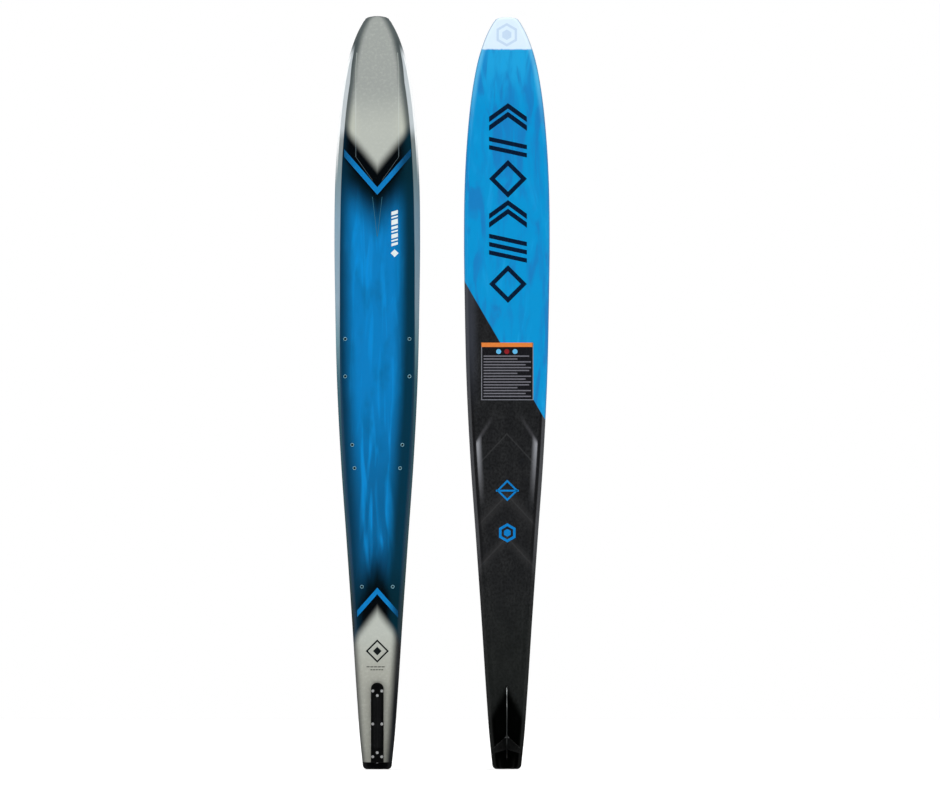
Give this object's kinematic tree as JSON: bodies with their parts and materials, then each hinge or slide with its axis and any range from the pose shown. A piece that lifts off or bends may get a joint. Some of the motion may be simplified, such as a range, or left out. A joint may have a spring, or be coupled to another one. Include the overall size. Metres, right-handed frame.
{
  "type": "water ski pair",
  "caption": "Pair of slalom water skis with bevelled decks, tunnel bases, threaded binding inserts, and clamped adjustable fins with tilting wings.",
  "frame": {"origin": "on the floor line midway between the two tails, level with the base planes", "axes": "+Z along both skis from tail to tip, +X from the left ski to the right ski, -Y is the side that shows the left ski's deck and the right ski's base"},
  "size_m": [0.472, 0.186, 1.65],
  "materials": {
    "deck_skin": "gloss",
    "base_skin": "gloss",
    "light_core": "matte",
    "dense_plate": "matte",
    "stainless": "satin",
    "black_anodised": "satin",
    "clear_anodised": "satin",
    "brass_nuts": "satin"
  },
  "bodies": {
    "left_ski": {"left_deck_skin": "deck_skin", "left_base_skin": "base_skin", "left_core": "light_core", "left_binding_reinforcement": "dense_plate", "left_fin_reinforcement": "dense_plate", "left_front_inserts": "stainless", "left_heel_inserts": "stainless", "left_rear_inserts": "stainless", "left_fin_block": "black_anodised", "left_mounting_screws": "stainless", "left_clamp_bar": "clear_anodised", "left_clamp_bolts": "stainless"},
    "left_depth_carriage": {"left_depth_nuts": "brass_nuts", "left_depth_pins": "stainless"},
    "left_fin": {"left_fin": "clear_anodised"},
    "left_wing": {"left_wing_port": "clear_anodised", "left_wing_starboard": "clear_anodised", "left_wing_screws": "stainless", "left_wing_nuts": "stainless"},
    "left_front_depth_screw": {"left_front_depth_screw": "stainless", "left_front_screw_clip": "stainless"},
    "left_rear_depth_screw": {"left_rear_depth_screw": "stainless", "left_rear_screw_clip": "stainless"},
    "left_front_travel_screw": {"left_front_travel_screw": "stainless"},
    "left_rear_travel_screw": {"left_rear_travel_screw": "stainless"},
    "right_ski": {"right_deck_skin": "deck_skin", "right_base_skin": "base_skin", "right_core": "light_core", "right_binding_reinforcement": "dense_plate", "right_fin_reinforcement": "dense_plate", "right_front_inserts": "stainless", "right_heel_inserts": "stainless", "right_rear_inserts": "stainless", "right_fin_block": "black_anodised", "right_mounting_screws": "stainless", "right_clamp_bar": "clear_anodised", "right_clamp_bolts": "stainless"},
    "right_depth_carriage": {"right_depth_nuts": "brass_nuts", "right_depth_pins": "stainless"},
    "right_fin": {"right_fin": "clear_anodised"},
    "right_wing": {"right_wing_port": "clear_anodised", "right_wing_starboard": "clear_anodised", "right_wing_screws": "stainless", "right_wing_nuts": "stainless"},
    "right_front_depth_screw": {"right_front_depth_screw": "stainless", "right_front_screw_clip": "stainless"},
    "right_rear_depth_screw": {"right_rear_depth_screw": "stainless", "right_rear_screw_clip": "stainless"},
    "right_front_travel_screw": {"right_front_travel_screw": "stainless"},
    "right_rear_travel_screw": {"right_rear_travel_screw": "stainless"}
  },
  "joints": [
    {"name": "left_fin_depth", "type": "slide", "parent": "left_ski", "child": "left_depth_carriage", "axis": [0, 1, 0], "range_m": [-0.002, 0.002]},
    {"name": "left_fin_travel", "type": "slide", "parent": "left_depth_carriage", "child": "left_fin", "axis": [0, 0, 1], "range_m": [-0.0025, 0.0025]},
    {"name": "left_wing_angle", "type": "hinge", "parent": "left_fin", "child": "left_wing", "pos_m": [-0.142, 0.028, 0.068], "axis": [-1, 0, 0], "range_deg": [-8, 4]},
    {"name": "left_front_depth_turn", "type": "hinge", "parent": "left_ski", "child": "left_front_depth_screw", "pos_m": [-0.142, -0.035, 0.1616], "axis": [0, -1, 0], "range_deg": [-1030, 1030]},
    {"name": "left_front_travel_feed", "type": "slide", "parent": "left_ski", "child": "left_front_travel_screw", "axis": [0, 0, 1], "range_m": [-0.0025, 0.0025]},
    {"name": "left_rear_depth_turn", "type": "hinge", "parent": "left_ski", "child": "left_rear_depth_screw", "pos_m": [-0.142, -0.035, 0.0366], "axis": [0, -1, 0], "range_deg": [-1030, 1030]},
    {"name": "left_rear_travel_feed", "type": "slide", "parent": "left_ski", "child": "left_rear_travel_screw", "axis": [0, 0, 1], "range_m": [-0.0025, 0.0025]},
    {"name": "right_fin_depth", "type": "slide", "parent": "right_ski", "child": "right_depth_carriage", "axis": [0, -1, 0], "range_m": [-0.002, 0.002]},
    {"name": "right_fin_travel", "type": "slide", "parent": "right_depth_carriage", "child": "right_fin", "axis": [0, 0, 1], "range_m": [-0.0025, 0.0025]},
    {"name": "right_wing_angle", "type": "hinge", "parent": "right_fin", "child": "right_wing", "pos_m": [0.142, -0.028, 0.068], "axis": [1, 0, 0], "range_deg": [-8, 4]},
    {"name": "right_front_depth_turn", "type": "hinge", "parent": "right_ski", "child": "right_front_depth_screw", "pos_m": [0.142, 0.035, 0.1616], "axis": [0, 1, 0], "range_deg": [-1030, 1030]},
    {"name": "right_front_travel_feed", "type": "slide", "parent": "right_ski", "child": "right_front_travel_screw", "axis": [0, 0, 1], "range_m": [-0.0025, 0.0025]},
    {"name": "right_rear_depth_turn", "type": "hinge", "parent": "right_ski", "child": "right_rear_depth_screw", "pos_m": [0.142, 0.035, 0.0366], "axis": [0, 1, 0], "range_deg": [-1030, 1030]},
    {"name": "right_rear_travel_feed", "type": "slide", "parent": "right_ski", "child": "right_rear_travel_screw", "axis": [0, 0, 1], "range_m": [-0.0025, 0.0025]},
    {"name": "pair_spread", "type": "slide", "parent": "left_ski", "child": "right_ski", "axis": [1, 0, 0], "range_m": [0, 0.25]}
  ],
  "couplings": [
    {"joint": "left_front_depth_turn", "follows": "left_fin_depth", "rad_per_m": 8976},
    {"joint": "left_front_travel_feed", "follows": "left_fin_travel", "ratio": 1},
    {"joint": "left_rear_depth_turn", "follows": "left_fin_depth", "rad_per_m": 8976},
    {"joint": "left_rear_travel_feed", "follows": "left_fin_travel", "ratio": 1},
    {"joint": "right_front_depth_turn", "follows": "right_fin_depth", "rad_per_m": 8976},
    {"joint": "right_front_travel_feed", "follows": "right_fin_travel", "ratio": 1},
    {"joint": "right_rear_depth_turn", "follows": "right_fin_depth", "rad_per_m": 8976},
    {"joint": "right_rear_travel_feed", "follows": "right_fin_travel", "ratio": 1}
  ]
}
